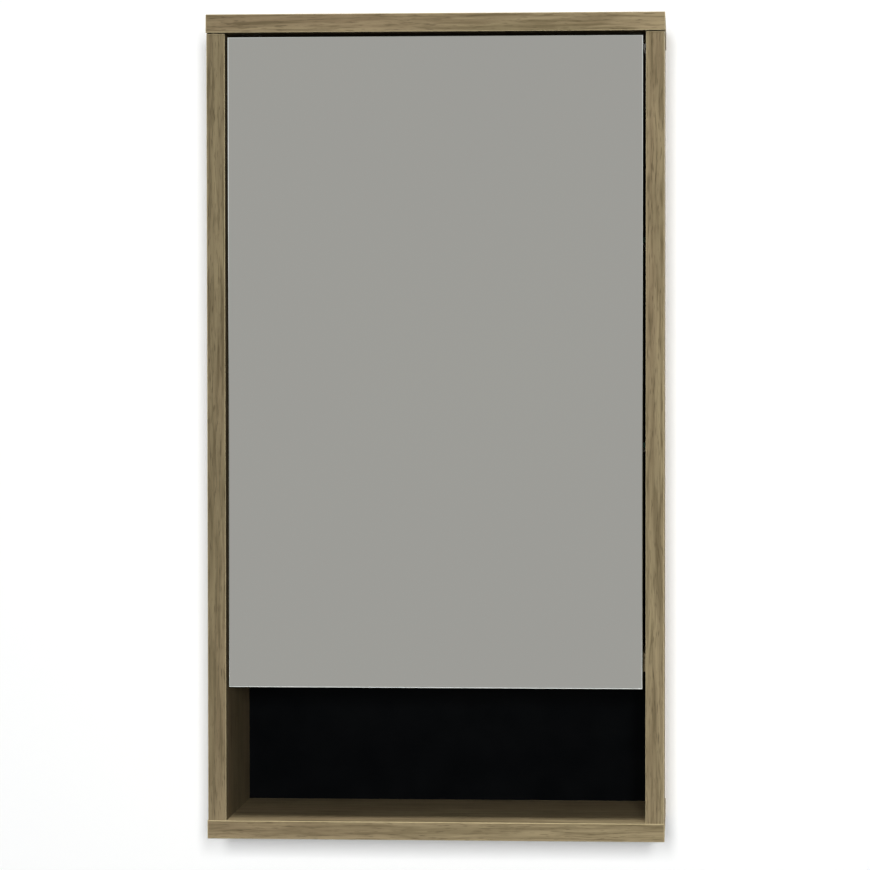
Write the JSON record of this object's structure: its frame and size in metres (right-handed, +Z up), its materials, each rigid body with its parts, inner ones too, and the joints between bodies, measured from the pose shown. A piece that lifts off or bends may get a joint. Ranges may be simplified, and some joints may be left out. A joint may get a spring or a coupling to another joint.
{
  "type": "mirror cabinet",
  "caption": "Wall-hung bathroom mirror cabinet with an inset mirror door on concealed hinges over an open niche, glass shelves inside.",
  "frame": {"origin": "on the wall plane, at the centre of the rectangle of four screw holes in the two wall plates", "axes": "+Z up along the height; +Y from the front to the wall; +X to the right as seen from the front"},
  "size_m": [0.4, 0.15, 0.72],
  "materials": {
    "oak_board": "oak-look melamine on chipboard, satin, grain along each board",
    "oak_edging": "oak-look edging strip, satin, with a slightly lighter arris",
    "dark_board": "near-black lacquered hardboard",
    "mirror_glass": "silvered float glass with a ground and polished arris",
    "clear_glass": "clear float glass with polished edges",
    "nickel_steel": "nickel-plated pressed steel",
    "zinc_steel": "bright zinc-plated steel",
    "white_plastic": "moulded ABS",
    "oak_plastic": "moulded caps in the colour of the boards",
    "clear_rubber": "soft clear silicone",
    "beech": "fluted beech dowel"
  },
  "bodies": {
    "cabinet": {"top_panel": "oak_board", "bottom_panel": "oak_board", "left_side_panel": "oak_board", "right_side_panel": "oak_board", "fixed_shelf": "oak_board", "back_panel": "dark_board", "top_edging": "oak_edging", "bottom_edging": "oak_edging", "left_edging": "oak_edging", "right_edging": "oak_edging", "shelf_edging": "oak_edging", "upper_glass_shelf": "clear_glass", "lower_glass_shelf": "clear_glass", "upper_shelf_pins": "nickel_steel", "lower_shelf_pins": "nickel_steel", "door_bumpers": "clear_rubber", "carcass_dowels": "beech", "carcass_screws": "zinc_steel", "screw_caps": "oak_plastic", "upper_hinge_arm": "nickel_steel", "lower_hinge_arm": "nickel_steel", "upper_hinge_plate": "nickel_steel", "lower_hinge_plate": "nickel_steel", "arm_pins": "zinc_steel", "hinge_plate_screws": "zinc_steel", "hinge_arm_screws": "zinc_steel", "left_hanger_body": "white_plastic", "right_hanger_body": "white_plastic", "left_hanger_hook": "zinc_steel", "right_hanger_hook": "zinc_steel", "left_hanger_cover": "white_plastic", "right_hanger_cover": "white_plastic", "hanger_adjusters": "zinc_steel", "left_wall_plate": "zinc_steel", "right_wall_plate": "zinc_steel"},
    "door": {"door_board": "oak_board", "door_edging": "oak_edging", "mirror_glass": "mirror_glass", "upper_hinge_cup": "nickel_steel", "lower_hinge_cup": "nickel_steel", "cup_pins": "zinc_steel", "hinge_cup_screws": "zinc_steel"},
    "outer_links": {"upper_outer_link": "nickel_steel", "lower_outer_link": "nickel_steel"},
    "inner_links": {"upper_inner_link": "nickel_steel", "lower_inner_link": "nickel_steel"}
  },
  "joints": [
    {"name": "outer_link_swing", "type": "hinge", "parent": "cabinet", "child": "outer_links", "pos_m": [-0.1405, -0.1175, -0.22835], "axis": [0, 0, -1], "range_deg": [-23.06, 0]},
    {"name": "door_swing", "type": "hinge", "parent": "outer_links", "child": "door", "pos_m": [-0.1659, -0.13635, -0.22835], "axis": [0, 0, -1], "range_deg": [0, 111.06]},
    {"name": "inner_link_swing", "type": "hinge", "parent": "cabinet", "child": "inner_links", "pos_m": [-0.14685, -0.1335, -0.22835], "axis": [0, 0, -1], "range_deg": [-32.47, 0]}
  ],
  "couplings": [
    {"joint": "outer_link_swing", "follows": "door_swing", "ratio": -0.20761},
    {"joint": "inner_link_swing", "follows": "door_swing", "ratio": -0.29239}
  ]
}
